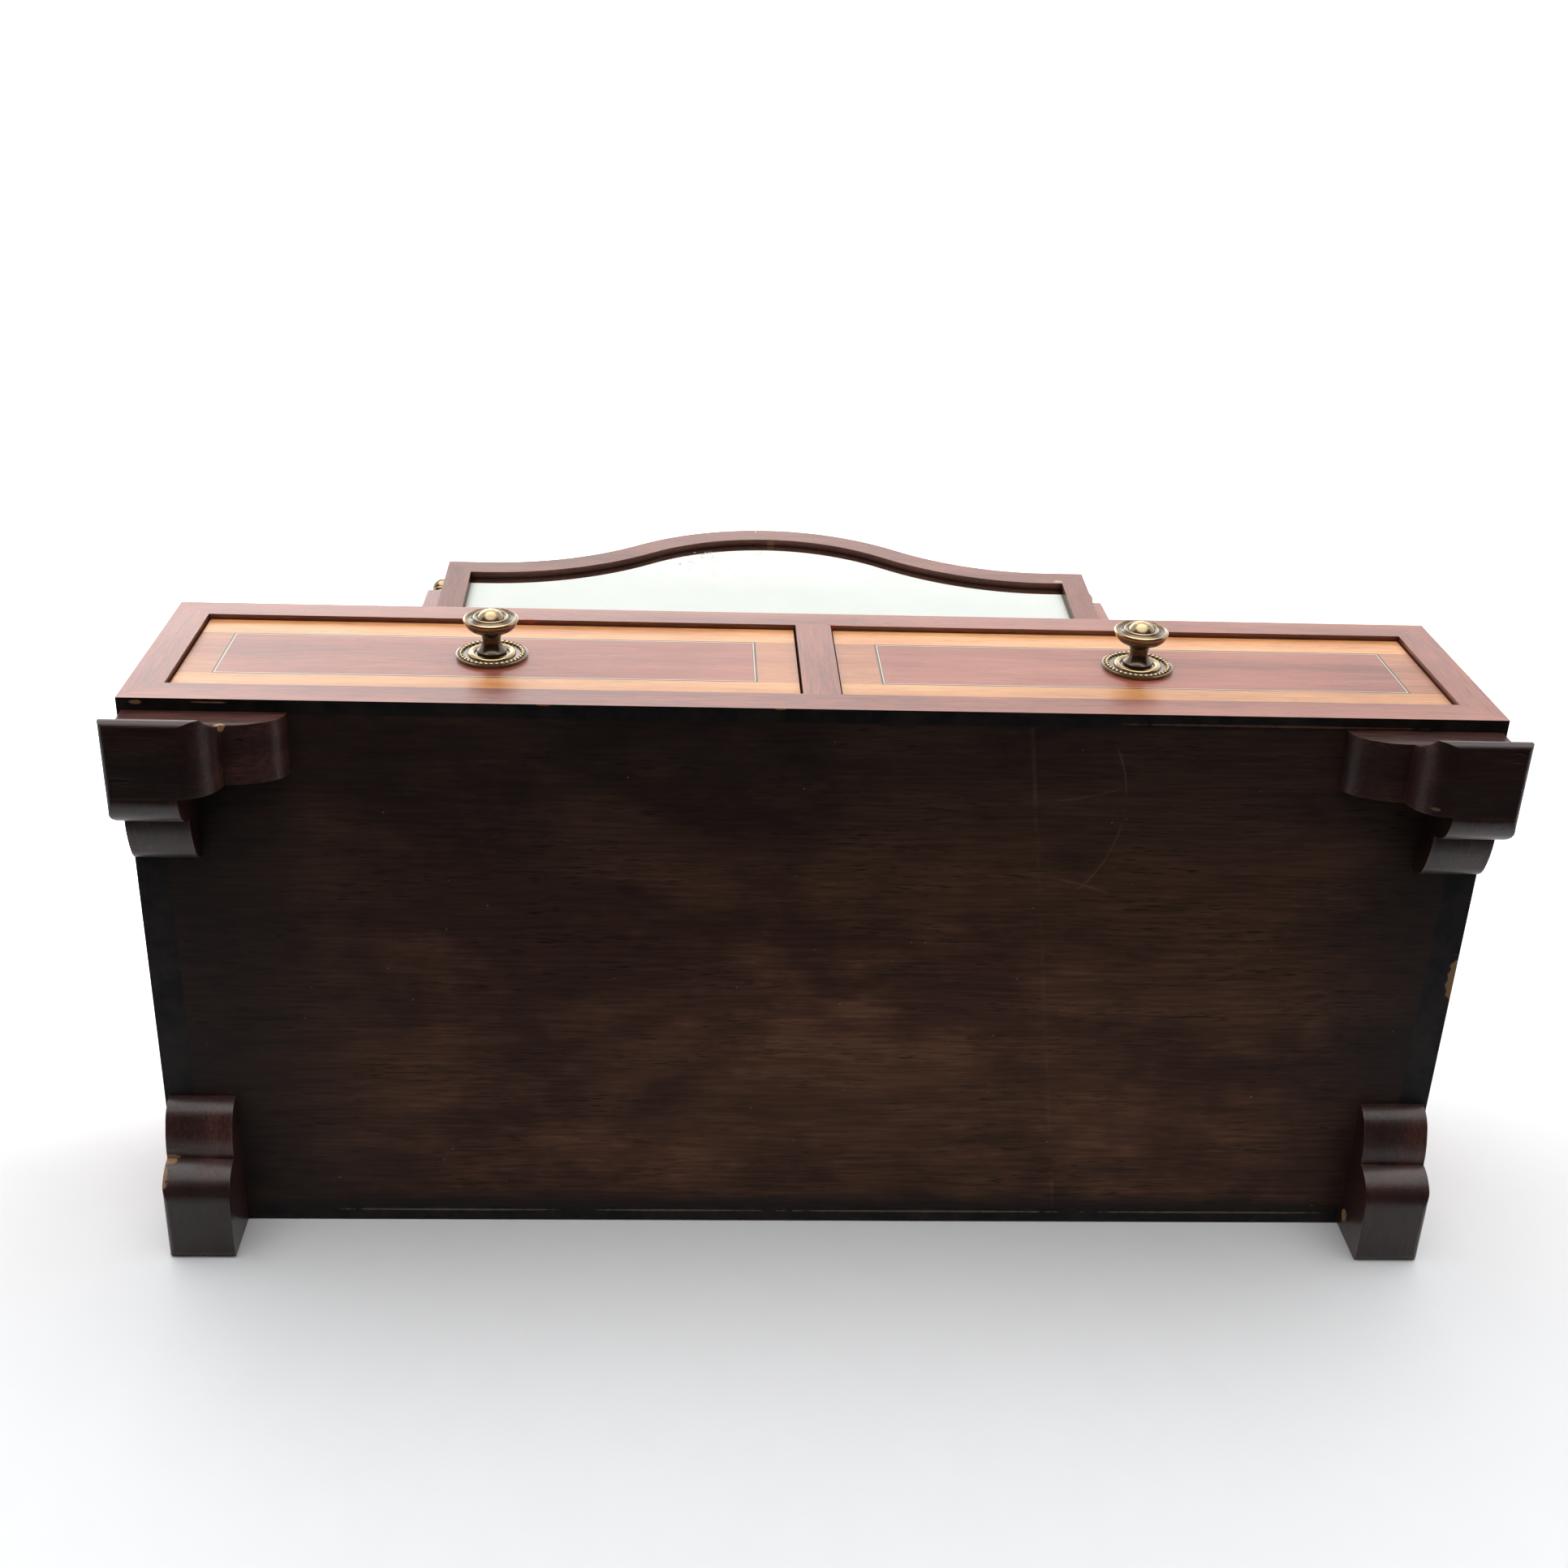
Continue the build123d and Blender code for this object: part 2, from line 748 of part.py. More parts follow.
with BuildPart() as mirror_backing:
    with BuildSketch(MIRROR_BACK.offset(rebate_depth - glass_thickness)):
        add(pane)
    extrude(amount=-backing_thickness)
save_piece(mirror_backing, "mirror_backing")

# small glue blocks that hold the backing in its rebate
block_length = 26.0
block_width = 6.0
block_edge_x = mirror_half_width - rebate_inset - block_width / 2
block_edge_y = mirror_half_height - rebate_inset - block_width / 2
with BuildPart() as backing_blocks:
    with BuildSketch(MIRROR_BACK):
        for sign in SIDES.values():
            with Locations((sign * block_edge_x, -110), (sign * block_edge_x, 110)):
                Rectangle(block_width, block_length)
            with Locations((sign * 100, -block_edge_y)):
                Rectangle(block_length, block_width)
    extrude(amount=rebate_depth - glass_thickness - backing_thickness)
save_piece(backing_blocks, "backing_blocks")

# ---------------------------------------------------------------- pivots
collar_gap = 0.05
with BuildPart() as pivot_plates:
    for sign in SIDES.values():
        plate_plane = Plane(
            origin=(sign * mirror_half_width, pivot_y, pivot_z),
            x_dir=MIRROR.y_dir,
            z_dir=(sign, 0, 0),
        )
        with BuildSketch(plate_plane):
            Rectangle(plate_size[0], plate_size[1])
            Circle(pin_diameter / 2, mode=Mode.SUBTRACT)
        extrude(amount=-plate_size[2])
save_piece(pivot_plates, "pivot_plates")

with BuildPart() as pivot_collars:
    for sign in SIDES.values():
        with BuildSketch(Plane.YZ.offset(sign * mirror_half_width)):
            with Locations((pivot_y, pivot_z)):
                Circle(5.5)
                Circle(pin_diameter / 2, mode=Mode.SUBTRACT)
        extrude(amount=sign * (upright_inner - mirror_half_width - collar_gap))
save_piece(pivot_collars, "pivot_collars")

# pins: shank into the mirror, round head with a small button outside the upright
for side, sign in SIDES.items():
    head_start = upright_outer + 0.1
    button_end = head_start + 10.0
    button_radius = (3.4**2 + 4.6**2) / (2 * 4.6)
    shank_end = mirror_half_width - pin_depth
    with BuildPart() as pin:
        pin_plane = Plane(
            origin=(0, pivot_y, pivot_z), x_dir=(sign, 0, 0), z_dir=(0, -sign, 0)
        )
        with BuildSketch(pin_plane):
            with BuildLine():
                Polyline(
                    (shank_end, 0),
                    (shank_end, pin_diameter / 2),
                    (head_start, pin_diameter / 2),
                    (head_start, 6.5),
                    (head_start + 1.4, 6.5),
                    (head_start + 2.2, 5.2),
                )
                ThreePointArc(
                    (head_start + 2.2, 5.2), (head_start + 3.6, 2.9), (head_start + 5.4, 3.4)
                )
                RadiusArc((head_start + 5.4, 3.4), (button_end, 0), button_radius)
                Line((button_end, 0), (shank_end, 0))
            make_face()
        revolve(axis=Axis((0, pivot_y, pivot_z), (1, 0, 0)))
    save_piece(pin, f"pivot_pin_{side}")
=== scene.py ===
"""Looks, light and camera for the swing toilet mirror on its two-drawer box."""
import math

import bpy
from mathutils import Matrix, Vector


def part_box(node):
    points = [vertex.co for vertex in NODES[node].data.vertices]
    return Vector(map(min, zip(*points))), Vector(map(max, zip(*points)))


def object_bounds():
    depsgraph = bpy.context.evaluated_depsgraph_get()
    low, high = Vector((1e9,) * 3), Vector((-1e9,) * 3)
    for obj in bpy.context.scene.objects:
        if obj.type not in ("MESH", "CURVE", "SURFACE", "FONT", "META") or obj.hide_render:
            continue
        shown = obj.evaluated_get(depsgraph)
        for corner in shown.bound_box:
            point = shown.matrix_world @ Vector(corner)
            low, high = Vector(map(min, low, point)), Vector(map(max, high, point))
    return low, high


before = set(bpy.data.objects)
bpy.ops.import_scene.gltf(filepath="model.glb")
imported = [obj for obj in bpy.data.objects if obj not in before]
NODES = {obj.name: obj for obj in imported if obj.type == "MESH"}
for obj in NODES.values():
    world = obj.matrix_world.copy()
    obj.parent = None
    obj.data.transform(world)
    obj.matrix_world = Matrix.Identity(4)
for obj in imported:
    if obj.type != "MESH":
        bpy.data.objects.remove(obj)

MM = 0.001
SIZE_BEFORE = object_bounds()
SIDES = ("left", "right")
scene = bpy.context.scene
scene.view_settings.view_transform = "Standard"
scene.view_settings.look = "None"


# ---------------------------------------------------------------- node helpers
# sockets of a Mix node in its colour mode
MIX_FACTOR, MIX_A, MIX_B, MIX_RESULT = 0, 6, 7, 2
SCALAR_RESULTS = {"LENGTH", "DOT_PRODUCT", "DISTANCE"}


class Graph:
    """Short calls for building one node tree."""

    def __init__(self, owner):
        owner.use_nodes = True
        self.tree = owner.node_tree
        self.tree.nodes.clear()

    def node(self, kind, inputs=None, **settings):
        made = self.tree.nodes.new(kind)
        for key, value in settings.items():
            setattr(made, key, value)
        for key, value in (inputs or {}).items():
            self.feed(made.inputs[key], value)
        return made

    def feed(self, socket, value):
        """Connect an output to a socket, or set the socket to a plain value."""
        if isinstance(value, bpy.types.NodeSocket):
            self.tree.links.new(value, socket)
        elif isinstance(value, (tuple, list)) and len(value) == 3 and socket.type == "RGBA":
            socket.default_value = (*value, 1.0)
        else:
            socket.default_value = value

    def math(self, operation, a, b=0.0, clamp=False):
        made = self.node("ShaderNodeMath", {0: a, 1: b}, operation=operation, use_clamp=clamp)
        return made.outputs[0]

    def fold(self, operation, values):
        """One math node after another, over any number of values."""
        result, *rest = values
        for value in rest:
            result = self.math(operation, result, value)
        return result

    def add(self, *values):
        return self.fold("ADD", values)

    def multiply(self, *values):
        return self.fold("MULTIPLY", values)

    def highest(self, *values):
        return self.fold("MAXIMUM", values)

    def subtract(self, a, b):
        return self.math("SUBTRACT", a, b)

    def away_from(self, value, centre):
        """How far a value is from another, either way."""
        return self.math("ABSOLUTE", self.subtract(value, centre))

    def vector(self, operation, a, b=(0, 0, 0)):
        made = self.node("ShaderNodeVectorMath", {0: a, 1: b}, operation=operation)
        return made.outputs["Value" if operation in SCALAR_RESULTS else "Vector"]

    def in_radii(self, place, centre, radii):
        """Distance from the centre of an ellipsoid: 1 on its surface."""
        offset = self.vector("DIVIDE", self.vector("SUBTRACT", place, centre), radii)
        return self.vector("LENGTH", offset)

    def split(self, vector):
        return self.node("ShaderNodeSeparateXYZ", {0: vector}).outputs

    def join(self, x, y, z):
        return self.node("ShaderNodeCombineXYZ", {0: x, 1: y, 2: z}).outputs[0]

    def mix(self, factor, a, b, blend="MIX"):
        made = self.node("ShaderNodeMix", data_type="RGBA", blend_type=blend)
        self.feed(made.inputs[MIX_FACTOR], factor)
        self.feed(made.inputs[MIX_A], a)
        self.feed(made.inputs[MIX_B], b)
        return made.outputs[MIX_RESULT]

    def tint(self, colour, by):
        return self.mix(1.0, colour, by, "MULTIPLY")

    def remap(self, value, low, high, to_low=0.0, to_high=1.0, smooth=False):
        """Go from to_low to to_high while the value goes from low to high, and stay there."""
        made = self.node(
            "ShaderNodeMapRange",
            {0: value, 1: low, 2: high, 3: to_low, 4: to_high},
            interpolation_type="SMOOTHSTEP" if smooth else "LINEAR",
            clamp=True,
        )
        return made.outputs[0]

    def noise(self, vector, scale=1.0, detail=3.0, roughness=0.5):
        inputs = {"Vector": vector, "Scale": scale, "Detail": detail, "Roughness": roughness}
        return self.node("ShaderNodeTexNoise", inputs).outputs[0]

    def stretch(self, vector, scale):
        return self.node("ShaderNodeMapping", {"Vector": vector, "Scale": scale}).outputs[0]

    def place(self):
        """Position in the part's own frame, in metres."""
        return self.node("ShaderNodeTexCoord").outputs["Object"]

    def normal(self):
        return self.node("ShaderNodeNewGeometry").outputs["Normal"]

    def openness(self, reach, samples):
        """1 on open faces, less in corners and hollows narrower than the reach."""
        inputs = {"Distance": reach}
        return self.node("ShaderNodeAmbientOcclusion", inputs, samples=samples).outputs["AO"]

    def sharpness(self, radius):
        """0 on flat faces, more where the normal turns within the radius of an arris."""
        rounded = self.node("ShaderNodeBevel", {"Radius": radius}, samples=4).outputs[0]
        return self.subtract(1.0, self.vector("DOT_PRODUCT", rounded, self.normal()))

    def bump(self, height, strength, depth):
        inputs = {"Strength": strength, "Distance": depth, "Height": height}
        return self.node("ShaderNodeBump", inputs).outputs[0]

    def surface(self, inputs):
        """End a material's tree in a Principled shader."""
        shader = self.node("ShaderNodeBsdfPrincipled", inputs)
        self.node("ShaderNodeOutputMaterial", {"Surface": shader.outputs[0]})


def new_material(name):
    material = bpy.data.materials.new(name)
    return material, Graph(material)


def darker(colour, share):
    return tuple(channel * share for channel in colour)


UNDER_FLOOR = -0.02  # a camera lower than this looks up at the object ...
TABLE_EDGE = 0.10  # ... and one nearer the front than this is on the open side of the table


def from_below(graph):
    """1 where the picture is taken from under the object, else 0."""
    camera_place = graph.node(
        "ShaderNodeVectorTransform",
        {0: (0.0, 0.0, 0.0)},
        vector_type="POINT",
        convert_from="CAMERA",
        convert_to="WORLD",
    ).outputs[0]
    _, y, z = graph.split(camera_place)
    under = graph.math("LESS_THAN", z, UNDER_FLOOR)
    before = graph.math("LESS_THAN", y, TABLE_EDGE)
    return graph.multiply(under, before)


def paint(names, material):
    """Give a material to every slot of the named CAD nodes."""
    for name in names:
        for slot in NODES[name].material_slots:
            slot.link = "OBJECT"
            slot.material = material


# ---------------------------------------------------------------- wood
CASE_BOTTOM = 0.022  # height of the case's lower face over the floor
GRAIN_WANDER = 0.008  # how far the grain lines wander, in metres
WOOD_RELIEF = 0.2 * MM
ARRIS = 1.2 * MM  # width of the rubbed strip along an edge
# reach of the grime and painted shade in corners and between parts
SOIL_AND_SHADE_REACH = 4 * MM
# blackish stain under the case
STAIN = ((0.008, 0.007, 0.007), (0.020, 0.015, 0.013))
STAIN_TOP = 0.030  # no stain on downward faces above this height
STAIN_ROUGHNESS = 0.5
STAIN_SPECULAR = 0.12
# painted light: how much paler the wood is drawn above a given height, and over what height it
# comes in
TOP_PAINTED_LIGHT = (1.22, 1.22, 1.3)
TOP_LIGHT_FADE = 4 * MM


def along(axis, length_scale, cross_scale):
    """Scale for a texture that is long in one axis and fine in the other two."""
    scale = [cross_scale] * 3
    scale["XYZ".index(axis)] = length_scale
    return tuple(scale)


def patch(g, place, centre, radii):
    """1 inside a ragged ellipsoid about a point, 0 outside it."""
    ragged = g.subtract(g.noise(place, scale=400, detail=3), 0.5)
    return g.remap(g.add(g.in_radii(place, centre, radii), ragged), 0.85, 1.0, 1.0, 0.0)


def grain_colour(g, place, axis, dark, mid, light, pores, figure, fine=1.0):
    """Colour, fibre and height of planed wood: broad figure, fibres, and short open pores."""
    warp = g.noise(g.stretch(place, along(axis, 5, 16)), detail=2)
    wander = g.vector("MULTIPLY", g.join(warp, warp, warp), (GRAIN_WANDER,) * 3)
    bent = g.vector("ADD", place, wander)

    def streaks(length_scale, cross_scale, **settings):
        return g.noise(g.stretch(bent, along(axis, length_scale, cross_scale)), **settings)

    broad = streaks(5, 60, detail=4, roughness=0.6)
    fibre = streaks(70 * fine, 1200 * fine, detail=3, roughness=0.7)
    dashes = streaks(230 * fine, 2600 * fine, detail=1, roughness=0.4)
    where = streaks(18, 120, detail=2)
    pore = g.multiply(g.remap(dashes, 0.58, 0.70), g.remap(where, 0.38, 0.62))
    tone = g.add(g.multiply(broad, figure), g.multiply(fibre, 1 - figure))
    tone = g.remap(tone, 0.37, 0.63)
    colour = g.mix(g.remap(tone, 0.0, 0.5), dark, mid)
    colour = g.mix(g.remap(tone, 0.5, 1.0), colour, light)
    colour = g.mix(g.multiply(pore, pores), colour, darker(dark, 0.22))
    height = g.subtract(g.multiply(fibre, 0.4), pore)
    return colour, fibre, height


def wood(
    name,
    axis,
    dark,
    mid,
    light,
    gloss=0.35,
    coat=0.3,
    pores=0.5,
    figure=0.5,
    wear=0.3,
    wear_colour=(0.45, 0.2, 0.1),
    relief=0.15,
    # how dark the grime and painted shade in corners is
    grime=0.5,
    cloud_depth=0.35,
    stained_below=False,
    chips=(),
    level=0.5,
    lit_above=None,
):
    """A polished or bare wood, with its grain along one axis of the object.

    gloss is the roughness of the polish and level its specular level. stained_below: faces
    turned to the floor carry a blackish stain. chips: bare patches, as (centre, radii,
    colour) in metres. lit_above: painted light, the wood is drawn paler over this height.
    """
    material, g = new_material(name)
    place = g.place()
    colour, fibre, height = grain_colour(g, place, axis, dark, mid, light, pores, figure)
    # painted light on the top: the wood is drawn paler above the given height, where the light
    # falls brighter
    if lit_above is not None:
        top_lit = g.remap(g.split(place)[2], lit_above - TOP_LIGHT_FADE, lit_above)
        colour = g.mix(top_lit, colour, g.tint(colour, TOP_PAINTED_LIGHT))
    cloud = g.noise(place, scale=14, detail=3)
    shade = g.tint(colour, (0.6, 0.5, 0.5))
    colour = g.mix(g.remap(cloud, 0.35, 0.7, 0.0, cloud_depth), colour, shade)
    # arrises rubbed through the polish
    rub = g.noise(place, scale=110, detail=5, roughness=0.65)
    edge = g.multiply(g.remap(g.sharpness(ARRIS), 0.02, 0.2), g.remap(rub, 0.42, 0.62))
    colour = g.mix(g.multiply(edge, wear), colour, wear_colour)
    # grime and painted shade in corners and between parts: darker where the surface is hemmed in
    corner_soil_and_shade = g.remap(g.openness(SOIL_AND_SHADE_REACH, 4), 0.35, 0.9, grime, 0.0)
    colour = g.mix(corner_soil_and_shade, colour, darker(dark, 0.12))
    tone = g.add(g.multiply(fibre, 0.5), g.multiply(cloud, 0.5))
    rough = g.remap(tone, 0.3, 0.7, gloss - 0.06, gloss + 0.1)
    coat_amount = coat
    shine = level
    if stained_below:
        low_down = g.math("LESS_THAN", g.split(place)[2], STAIN_TOP)
        turned_down = g.remap(g.split(g.normal())[2], -0.9, -0.6, 1.0, 0.0)
        below = g.multiply(turned_down, low_down)
        colour = g.mix(below, colour, g.mix(g.remap(rub, 0.4, 0.7), *STAIN))
        coat_amount = g.remap(below, 0.0, 1.0, coat, 0.0)
        rough = g.highest(rough, g.multiply(below, STAIN_ROUGHNESS))
        shine = g.remap(below, 0.0, 1.0, level, STAIN_SPECULAR)
    for centre, radii, bare in chips:
        mask = patch(g, place, centre, radii)
        colour = g.mix(mask, colour, g.mix(fibre, darker(bare, 0.55), bare))
        rough = g.highest(rough, g.multiply(mask, 0.7))
        height = g.subtract(height, g.multiply(mask, 1.5))
    g.surface(
        {
            "Base Color": colour,
            "Roughness": rough,
            "Normal": g.bump(height, relief, WOOD_RELIEF),
            "Coat Weight": coat_amount,
            "Coat Roughness": max(gloss - 0.12, 0.05),
            "Specular IOR Level": shine,
        }
    )
    return material


TAN = (0.30, 0.17, 0.085)
PALE = (0.55, 0.42, 0.28)
FRESH_RED = (0.42, 0.07, 0.035)
RED = dict(dark=(0.121, 0.030, 0.018), mid=(0.250, 0.070, 0.039), light=(0.335, 0.113, 0.066))
FRAME = dict(dark=(0.125, 0.047, 0.034), mid=(0.207, 0.082, 0.059), light=(0.261, 0.113, 0.082))
PANEL = dict(dark=(0.148, 0.034, 0.019), mid=(0.277, 0.075, 0.041), light=(0.374, 0.125, 0.072))
SATIN = dict(dark=(0.359, 0.133, 0.041), mid=(0.507, 0.226, 0.074), light=(0.616, 0.320, 0.125))
SATIN_END = dict(
    dark=(0.234, 0.078, 0.030), mid=(0.367, 0.136, 0.055), light=(0.476, 0.207, 0.090)
)
FOOT = dict(dark=(0.017, 0.008, 0.007), mid=(0.040, 0.016, 0.013), light=(0.088, 0.032, 0.024))
DEAL = dict(dark=(0.13, 0.075, 0.040), mid=(0.25, 0.15, 0.085), light=(0.36, 0.235, 0.14))
LINING = dict(dark=(0.26, 0.14, 0.07), mid=(0.42, 0.26, 0.14), light=(0.55, 0.37, 0.21))
POLISH = dict(gloss=0.34, coat=0.35)
STAINED = dict(POLISH, stained_below=True)
VENEER = dict(gloss=0.34, coat=0.3, wear=0.0)

# bare patches: centre, radii, colour
FRONT_CHIPS = (
    ((-0.1002, -0.0950, 0.0972), (0.0026, 0.0020, 0.0005), FRESH_RED),
    ((0.0066, -0.0950, 0.0975), (0.0018, 0.0020, 0.0008), FRESH_RED),
    ((-0.0143, -0.0950, 0.0222), (0.0022, 0.0007, 0.0004), TAN),
    ((-0.0900, -0.0950, 0.0221), (0.0026, 0.0006, 0.0004), (0.42, 0.14, 0.08)),
    ((-0.1950, -0.0938, 0.0220), (0.0060, 0.0003, 0.0004), TAN),
    ((-0.2190, -0.0936, 0.0220), (0.0022, 0.0008, 0.0006), TAN),
    ((0.1500, -0.0915, 0.0220), (0.0500, 0.0004, 0.0006), (0.16, 0.06, 0.035)),
)
SIDE_CHIPS = (((0.2250, 0.0040, 0.0223), (0.0028, 0.0090, 0.0030), TAN),)
CREST_CHIPS = (
    ((-0.0060, 0.0200, 0.5580), (0.0005, 0.0300, 0.0060), PALE),
    ((0.0030, 0.0200, 0.5440), (0.0022, 0.0300, 0.0012), TAN),
    ((0.1660, 0.0270, 0.4925), (0.0028, 0.0300, 0.0016), PALE),
)
FOOT_CHIPS = (
    ((-0.2245, 0.0790, 0.0050), (0.0030, 0.0050, 0.0045), TAN),
    ((-0.2230, 0.0750, 0.0100), (0.0050, 0.0016, 0.0022), TAN),
    ((-0.1905, -0.0905, 0.0112), (0.0021, 0.0022, 0.0014), (0.45, 0.27, 0.13)),
    ((0.1985, -0.0725, 0.0020), (0.0032, 0.0009, 0.0014), (0.20, 0.11, 0.055)),
    ((0.2010, 0.1030, 0.0170), (0.0010, 0.0035, 0.0030), (0.40, 0.26, 0.12)),
)
# bare splinters along the back's lower edge: middle and half length along x
BACK_CHIPS = tuple(
    ((middle_x, 0.1057, CASE_BOTTOM), (reach, 0.00040, 0.0010), (0.15, 0.115, 0.075))
    for middle_x, reach in ((-0.128, 0.040), (-0.045, 0.030), (0.045, 0.055), (0.150, 0.045))
)


def by_axis(name, axes, **settings):
    """The same wood, once for each direction of the grain."""
    return {axis: wood(f"{name}_{axis}", axis, **settings) for axis in axes}


mahogany = by_axis("mahogany", "XYZ", **RED, **STAINED, wear=0.35)
rail_wood = wood("mahogany_rails", "X", **RED, **STAINED, wear=0.35, chips=FRONT_CHIPS)
side_wood = wood("mahogany_sides", "Y", **RED, **STAINED, wear=0.3, chips=SIDE_CHIPS)
frame_wood = by_axis(
    "mirror_frame", "XZ", **FRAME, **POLISH, wear=0.4, grime=1.0, chips=CREST_CHIPS
)
panel_wood = wood("panel_mahogany", "X", **PANEL, **VENEER, pores=0.45, figure=0.6)
# the top bands carry painted light: drawn paler above 80 mm
satin_long = wood(
    "satinwood_long", "X", **SATIN, **VENEER, pores=0.3, grime=0.7, figure=0.6, lit_above=0.080
)
satin_end = wood("satinwood_ends", "X", **SATIN_END, **VENEER, pores=0.4, grime=0.8)
foot_wood = by_axis(
    "foot_mahogany",
    "XY",
    **FOOT,
    gloss=0.32,
    coat=0.1,
    level=0.35,
    wear=0.8,
    wear_colour=(0.16, 0.060, 0.040),
    cloud_depth=0.6,
    chips=FOOT_CHIPS,
    relief=0.3,
)
deal = by_axis("deal", "YZ", **DEAL, gloss=0.65, coat=0.0, pores=0.2, wear=0.2, cloud_depth=0.6)
back_wood = wood(
    "back_deal",
    "X",
    **DEAL,
    gloss=0.62,
    coat=0.0,
    pores=0.25,
    wear=0.0,
    cloud_depth=0.7,
    stained_below=True,
    chips=BACK_CHIPS,
)
lining = by_axis("lining", "XY", **LINING, gloss=0.6, coat=0.0, pores=0.3, wear=0.2)


# ---------------------------------------------------------------- underside board
BOARD = dict(dark=(0.042, 0.019, 0.011), mid=(0.070, 0.031, 0.017), light=(0.098, 0.046, 0.025))
# where the stain has rubbed away: centre, radii in x and y, strength
RUBBED = (
    ((0.020, 0.018), (0.105, 0.040), 0.75),
    ((0.125, 0.070), (0.060, 0.035), 0.6),
    ((-0.060, 0.085), (0.060, 0.022), 0.5),
    ((0.179, 0.027), (0.007, 0.009), 0.7),
    ((-0.010, 0.007), (0.014, 0.008), 0.6),
)
# bowed scratches: centre and radius of the circle, middle and reach of the part that shows
BOWED_SCRATCHES = (
    ((0.055, -0.062), 0.0465, (0.099, -0.055), 0.03),
    ((0.055, 0.085), 0.122, (0.084, -0.034), 0.017),
    ((0.070, -0.150), 0.087, (0.089, -0.067), 0.012),
)
# the straight scratch runs front to back at this x, leaning by this much
STRAIGHT_SCRATCH_X = 0.0795
STRAIGHT_SCRATCH_LEAN = 0.13


def stained_board():
    """Dark stained board under the case: mottled, rubbed paler behind its middle, scratched."""
    material, g = new_material("stained_board")
    place = g.place()
    x, y, _ = g.split(place)
    colour, _, height = grain_colour(g, place, "X", **BOARD, pores=0.8, figure=0.35, fine=0.6)
    mottle = g.noise(g.stretch(place, (11, 17, 17)), detail=5, roughness=0.62)
    small = g.noise(g.stretch(place, (38, 60, 60)), detail=3, roughness=0.6)
    mood = g.add(g.multiply(mottle, 0.72), g.multiply(small, 0.28))
    purple = g.tint(colour, (0.42, 0.36, 0.44))
    colour = g.mix(g.remap(mood, 0.56, 0.44, 0.0, 0.85), colour, purple)
    for centre, radii, strength in RUBBED:
        distance = g.in_radii(place, (*centre, CASE_BOTTOM), (*radii, 1.0))
        spread = g.add(distance, g.subtract(mood, 0.5))
        rubbed = g.remap(spread, 0.3, 1.1, strength, 0.0, smooth=True)
        colour = g.mix(rubbed, colour, g.tint(colour, (1.75, 1.75, 1.7)))
    # darker towards the front (painted shade: the front of the underside is farther from the
    # table and gets less light bounced from it) and the ends, black along the edges
    front = g.remap(y, -0.095, 0.0, 0.62, 0.0, smooth=True)
    ends = g.remap(g.away_from(x, 0.012), 0.135, 0.215, 0.0, 0.8, smooth=True)
    rear = g.remap(y, 0.096, 0.1035, 0.0, 0.9, smooth=True)
    colour = g.mix(g.highest(front, ends, rear), colour, (0.010, 0.008, 0.008))
    # scratches
    broken = g.remap(g.noise(place, scale=70, detail=4, roughness=0.7), 0.40, 0.58)
    scratch_x = g.add(g.multiply(y, STRAIGHT_SCRATCH_LEAN), STRAIGHT_SCRATCH_X)
    straight = g.remap(g.away_from(x, scratch_x), 0.0002, 0.0011, 0.10, 0.0)
    marks = g.multiply(straight, broken)
    for centre, radius, middle, reach in BOWED_SCRATCHES:
        off = g.away_from(g.vector("DISTANCE", place, (*centre, CASE_BOTTOM)), radius)
        from_middle = g.vector("DISTANCE", place, (*middle, CASE_BOTTOM))
        there = g.remap(from_middle, reach * 0.8, reach, 1.0, 0.0)
        line = g.remap(off, 0.0001, 0.0005, 0.15, 0.0)
        marks = g.highest(marks, g.multiply(line, there, broken))
    colour = g.mix(marks, colour, (0.30, 0.19, 0.12))
    specks = g.remap(g.noise(place, scale=640, detail=0), 0.90, 0.92)
    colour = g.mix(specks, colour, (0.17, 0.14, 0.11))
    g.surface(
        {
            "Base Color": colour,
            "Roughness": g.remap(mood, 0.4, 0.6, 0.5, 0.62),
            "Normal": g.bump(height, 0.35, WOOD_RELIEF),
            "Specular IOR Level": STAIN_SPECULAR,
        }
    )
    return material


paint(["front_rail_top", "front_rail_bottom"], rail_wood)
paint(["top_board"], mahogany["X"])
paint(["front_stile_left", "front_stile_right", "front_divider"], mahogany["Z"])
paint(["side_left", "side_right"], side_wood)
paint(["upright_left", "upright_right"], mahogany["Z"])
paint(["mirror_stile_left", "mirror_stile_right"], frame_wood["Z"])
paint(["mirror_rail_top", "mirror_rail_bottom"], frame_wood["X"])
paint(["bottom_board"], stained_board())
paint(["back_board"], back_wood)
paint(["mirror_backing"], deal["Z"])
paint(["backing_blocks", "centre_partition"], deal["Y"])
paint([f"drawer_{strip}" for strip in ("runners", "kickers", "guides", "stops")], deal["Y"])
for side in SIDES:
    paint([f"foot_front_{side}"], foot_wood["X"])
    paint([f"foot_front_{side}_wing", f"foot_rear_{side}"], foot_wood["Y"])
    paint([f"drawer_{side}_panel"], panel_wood)
    paint([f"drawer_{side}_bands_long"], satin_long)
    paint([f"drawer_{side}_bands_end"], satin_end)
    paint([f"drawer_{side}_{board}" for board in ("front", "back")], lining["X"])
    paint([f"drawer_{side}_{board}" for board in ("side_l", "side_r", "bottom")], lining["Y"])


# ---------------------------------------------------------------- stringing
LIGHT_LINE = 0.84  # distance of the light line's middle from the outer edge, in millimetres


